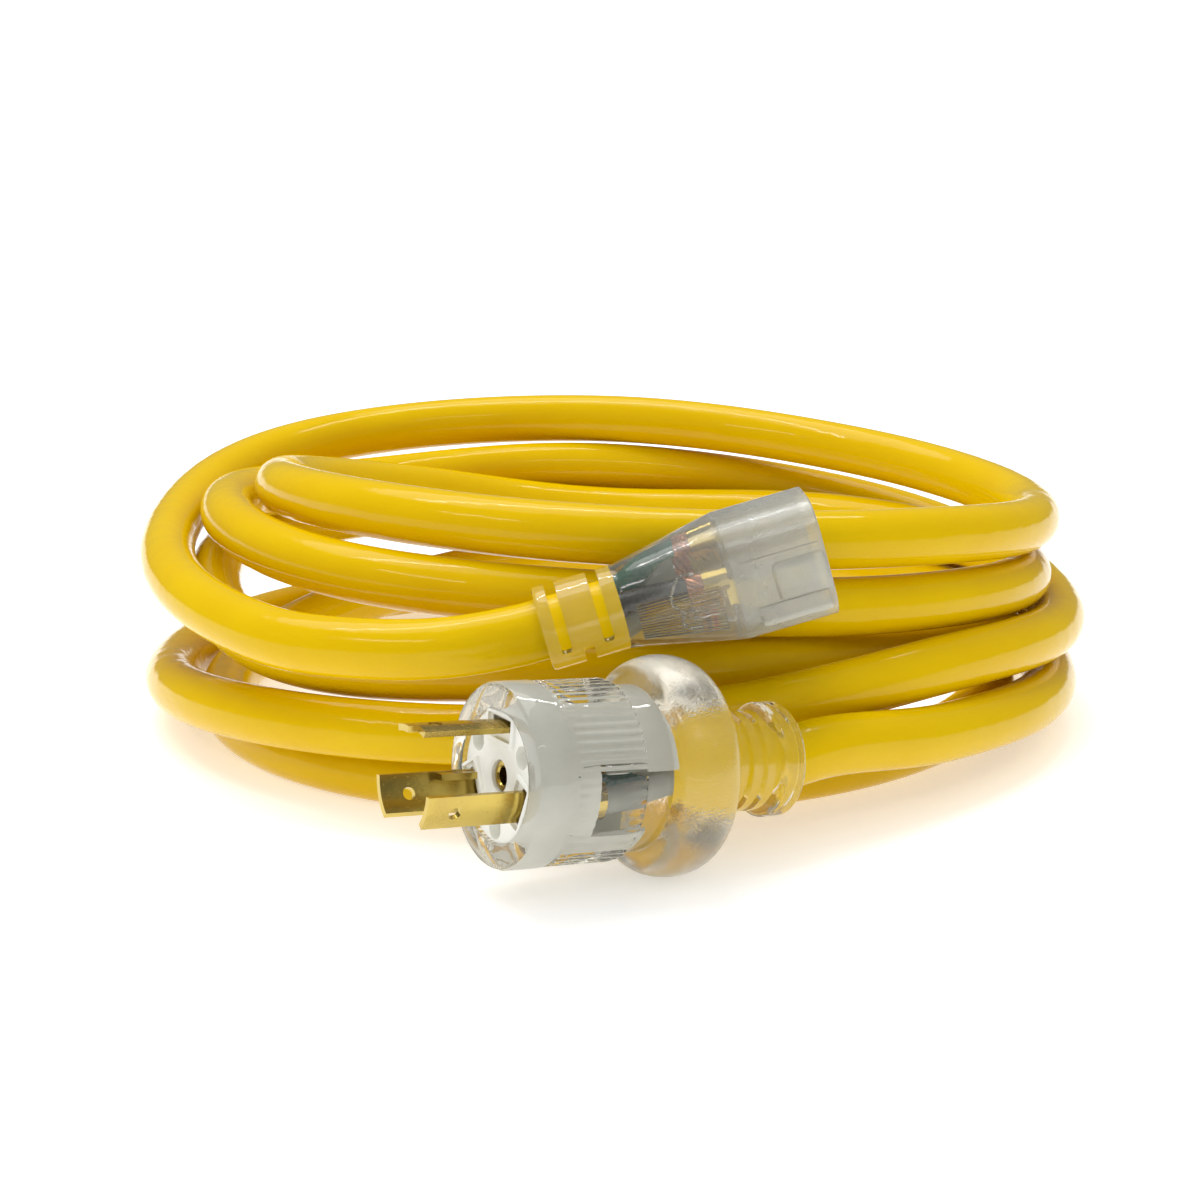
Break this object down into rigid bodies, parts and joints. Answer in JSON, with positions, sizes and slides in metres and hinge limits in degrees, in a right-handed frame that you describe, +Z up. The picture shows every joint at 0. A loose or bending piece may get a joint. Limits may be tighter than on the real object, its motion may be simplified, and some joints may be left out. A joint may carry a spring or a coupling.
{
  "type": "shore power cord",
  "caption": "Coiled heavy yellow power cord with a clear moulded locking plug at one end and a clear moulded outlet with a power lamp at the other.",
  "frame": {"origin": "bottom centre of the box round the plug and the outlet, on the surface that the cord lies on", "axes": "+Z up, +X along the outlet from its boot to its face as seen from the front, +Y towards the coil"},
  "size_m": [0.266, 0.3237, 0.0846],
  "materials": {
    "yellow_jacket": "glossy soft vinyl with faint lengthwise waviness",
    "clear_moulding": "clear moulded vinyl, polished with frosted patches",
    "white_insert": "satin moulded plastic",
    "carrier": "satin moulded plastic",
    "brass": "pressed sheet, lightly tarnished",
    "copper_strands": "bare stranded copper",
    "black_insulation": "smooth",
    "white_insulation": "smooth",
    "green_insulation": "smooth",
    "lamp_glass": "clear",
    "lamp_metal": "tinned wire",
    "resistor_body": "lacquered"
  },
  "bodies": {
    "root": {"cable_coil": "yellow_jacket", "cable_plug_lead": "yellow_jacket", "cable_outlet_lead": "yellow_jacket", "plug_jacket_end": "yellow_jacket", "outlet_jacket_end": "yellow_jacket", "plug_body": "clear_moulding", "outlet_body": "clear_moulding", "plug_insert": "white_insert", "outlet_insert": "carrier", "plug_line_blade": "brass", "plug_neutral_blade": "brass", "plug_ground_blade": "brass", "outlet_line_contact": "brass", "outlet_neutral_contact": "brass", "outlet_ground_contact": "brass", "plug_line_wire": "black_insulation", "plug_neutral_wire": "white_insulation", "plug_ground_wire": "green_insulation", "outlet_line_wire": "black_insulation", "outlet_neutral_wire": "white_insulation", "outlet_ground_wire": "green_insulation", "plug_wire_strands": "copper_strands", "outlet_wire_strands": "copper_strands", "lamp_bulb": "lamp_glass", "lamp_electrodes": "lamp_metal", "lamp_leads": "lamp_metal", "lamp_resistor": "resistor_body"}
  },
  "joints": []
}
